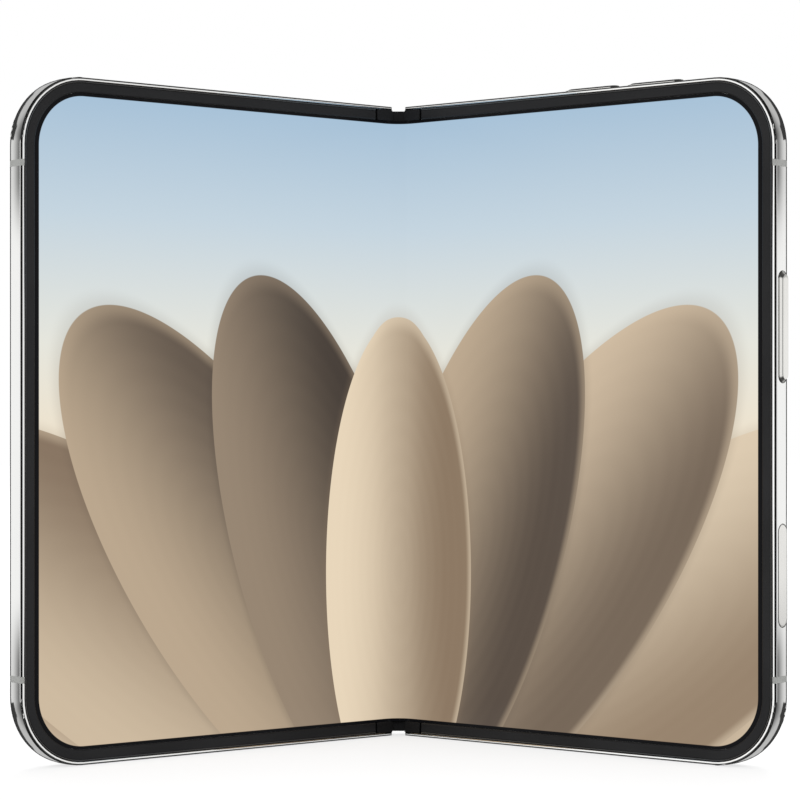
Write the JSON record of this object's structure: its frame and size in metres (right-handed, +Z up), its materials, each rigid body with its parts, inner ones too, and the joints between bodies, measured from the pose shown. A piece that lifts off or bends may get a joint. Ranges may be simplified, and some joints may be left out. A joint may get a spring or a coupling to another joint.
{
  "type": "foldable smartphone",
  "caption": "Book-style folding phone standing half open: two thin rounded halves on a geared spine, a bending inner screen, a cover screen, rear cameras and side buttons.",
  "frame": {"origin": "bottom centre of the bounding box of the half-open phone, on the surface it stands on", "axes": "+Z up along the spine, -Y towards the viewer who looks at the inner screen, +X to that viewer's right, towards the half with the buttons"},
  "size_m": [0.135, 0.0554, 0.1211],
  "materials": {
    "polished_metal": "polished silver-grey metal, bright reflections",
    "antenna_plastic": "matte light grey moulded plastic",
    "black_bezel": "satin black plastic",
    "inner_screen": "lit flexible display under a smooth film",
    "inner_aluminium": "fine satin aluminium",
    "rear_glass": "frosted pale grey coated glass, opaque",
    "dark_glass": "glossy black glass, opaque",
    "clear_window": "milky clear lens over the flash",
    "cell_pouch": "dark laminated pouch",
    "circuit_board": "green solder mask",
    "steel": "machined steel",
    "copper": "wound copper wire",
    "black_plastic": "black moulded plastic"
  },
  "bodies": {
    "spine": {"spine_cover": "polished_metal", "spine_end_caps": "black_bezel", "upper_hinge_bracket": "steel", "lower_hinge_bracket": "steel", "hinge_pins": "steel", "friction_springs": "steel", "spine_screws": "steel", "screen_fold": "inner_screen", "flex_cables": "circuit_board"},
    "right_half": {"right_frame": "polished_metal", "right_antenna_bands": "antenna_plastic", "right_bezel_ring": "black_bezel", "right_fold_pads": "black_bezel", "right_screen_panel": "inner_screen", "right_midplate": "inner_aluminium", "right_back_glass": "rear_glass", "right_battery": "cell_pouch", "main_board": "circuit_board", "board_shield": "steel", "charging_coil": "copper", "usb_c_shell": "steel", "usb_c_tongue": "black_plastic", "right_speaker": "black_plastic", "haptic_motor": "black_plastic", "camera_plateau": "inner_aluminium", "camera_lens_rings": "polished_metal", "camera_lens_glasses": "dark_glass", "camera_modules": "black_plastic", "flash_window": "clear_window", "button_switches": "black_plastic", "right_arm_screws": "steel", "upper_right_hinge_arm": "steel", "lower_right_hinge_arm": "steel"},
    "left_half": {"left_frame": "polished_metal", "left_antenna_bands": "antenna_plastic", "left_bezel_ring": "black_bezel", "left_fold_pads": "black_bezel", "left_screen_panel": "inner_screen", "left_midplate": "inner_aluminium", "cover_glass": "dark_glass", "cover_screen_panel": "circuit_board", "cover_camera": "black_plastic", "left_battery": "cell_pouch", "sub_board": "circuit_board", "left_speaker": "black_plastic", "left_arm_screws": "steel", "upper_left_hinge_arm": "steel", "lower_left_hinge_arm": "steel"},
    "upper_right_pinion_gear": {"upper_right_pinion": "steel"},
    "upper_left_pinion_gear": {"upper_left_pinion": "steel"},
    "lower_right_pinion_gear": {"lower_right_pinion": "steel"},
    "lower_left_pinion_gear": {"lower_left_pinion": "steel"},
    "power_button_body": {"power_button": "polished_metal"},
    "volume_up_button_body": {"volume_up_button": "polished_metal"},
    "volume_down_button_body": {"volume_down_button": "polished_metal"},
    "control_pad_body": {"control_pad": "polished_metal"}
  },
  "joints": [
    {"name": "right_fold", "type": "hinge", "parent": "spine", "child": "right_half", "pos_m": [0.0021, 0.0245, 0.0603], "axis": [0, 0, 1], "range_deg": [-51.6, 38.4], "deforming": ["screen_fold", "flex_cables"]},
    {"name": "left_fold", "type": "hinge", "parent": "spine", "child": "left_half", "pos_m": [-0.0021, 0.0245, 0.0603], "axis": [0, 0, -1], "range_deg": [-51.6, 38.4], "deforming": ["screen_fold", "flex_cables"]},
    {"name": "upper_right_pinion_spin", "type": "hinge", "parent": "spine", "child": "upper_right_pinion_gear", "pos_m": [0.00054, 0.0245, 0.0889], "axis": [0, 0, 1], "range_deg": [-97, 97]},
    {"name": "upper_left_pinion_spin", "type": "hinge", "parent": "spine", "child": "upper_left_pinion_gear", "pos_m": [-0.00054, 0.0245, 0.0889], "axis": [0, 0, 1], "range_deg": [-97, 97]},
    {"name": "lower_right_pinion_spin", "type": "hinge", "parent": "spine", "child": "lower_right_pinion_gear", "pos_m": [0.00054, 0.0245, 0.0317], "axis": [0, 0, 1], "range_deg": [-97, 97]},
    {"name": "lower_left_pinion_spin", "type": "hinge", "parent": "spine", "child": "lower_left_pinion_gear", "pos_m": [-0.00054, 0.0245, 0.0317], "axis": [0, 0, 1], "range_deg": [-97, 97]},
    {"name": "power_button_press", "type": "slide", "parent": "right_half", "child": "power_button_body", "axis": [-0.7837, 0.6211, 0], "range_m": [0, 0.00025], "stiffness_N_per_m": 300, "springref_m": -0.0012},
    {"name": "control_pad_press", "type": "slide", "parent": "right_half", "child": "control_pad_body", "axis": [-0.7837, 0.6211, 0], "range_m": [0, 0.00025], "stiffness_N_per_m": 300, "springref_m": -0.0012},
    {"name": "volume_up_button_press", "type": "slide", "parent": "right_half", "child": "volume_up_button_body", "axis": [0, 0, -1], "range_m": [0, 0.00025], "stiffness_N_per_m": 300, "springref_m": -0.0012},
    {"name": "volume_down_button_press", "type": "slide", "parent": "right_half", "child": "volume_down_button_body", "axis": [0, 0, -1], "range_m": [0, 0.00025], "stiffness_N_per_m": 300, "springref_m": -0.0012}
  ],
  "couplings": [
    {"joint": "left_fold", "follows": "right_fold", "ratio": 1},
    {"joint": "upper_right_pinion_spin", "follows": "right_fold", "ratio": -1.8571},
    {"joint": "upper_left_pinion_spin", "follows": "right_fold", "ratio": 1.8571},
    {"joint": "lower_right_pinion_spin", "follows": "right_fold", "ratio": -1.8571},
    {"joint": "lower_left_pinion_spin", "follows": "right_fold", "ratio": 1.8571}
  ]
}
